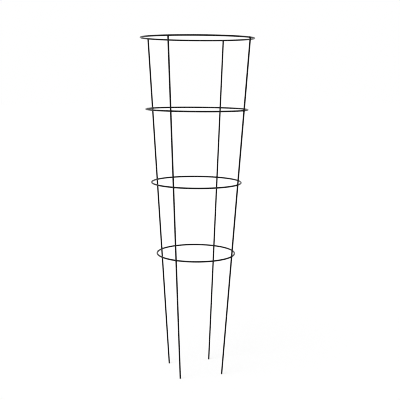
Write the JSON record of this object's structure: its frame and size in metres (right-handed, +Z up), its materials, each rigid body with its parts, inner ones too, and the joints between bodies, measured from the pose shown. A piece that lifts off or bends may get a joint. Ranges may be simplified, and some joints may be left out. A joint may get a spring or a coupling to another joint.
{
  "type": "tomato cage",
  "caption": "Free-standing cone-shaped cage of welded black wire, with straight legs to push into soil and level rings that hold up a growing plant.",
  "frame": {"origin": "on the ground at the middle of the four feet", "axes": "+Z up the middle of the cage, the legs on the diagonals between X and Y, the front towards -Y"},
  "size_m": [0.4549, 0.4548, 1.3725],
  "materials": {
    "coated_wire": "black satin powder coat on steel wire",
    "coated_weld": "black powder coat over weld metal, a little rougher than the wire"
  },
  "bodies": {
    "root": {"leg_front_left": "coated_wire", "leg_front_right": "coated_wire", "leg_rear_right": "coated_wire", "leg_rear_left": "coated_wire", "top_ring": "coated_wire", "upper_ring": "coated_wire", "lower_ring": "coated_wire", "bottom_ring": "coated_wire", "top_ring_butt_weld": "coated_weld", "upper_ring_butt_weld": "coated_weld", "lower_ring_butt_weld": "coated_weld", "bottom_ring_butt_weld": "coated_weld", "top_weld_front_left": "coated_weld", "top_weld_front_right": "coated_weld", "top_weld_rear_right": "coated_weld", "top_weld_rear_left": "coated_weld", "upper_weld_front_left": "coated_weld", "upper_weld_front_right": "coated_weld", "upper_weld_rear_right": "coated_weld", "upper_weld_rear_left": "coated_weld", "lower_weld_front_left": "coated_weld", "lower_weld_front_right": "coated_weld", "lower_weld_rear_right": "coated_weld", "lower_weld_rear_left": "coated_weld", "bottom_weld_front_left": "coated_weld", "bottom_weld_front_right": "coated_weld", "bottom_weld_rear_right": "coated_weld", "bottom_weld_rear_left": "coated_weld"}
  },
  "joints": []
}
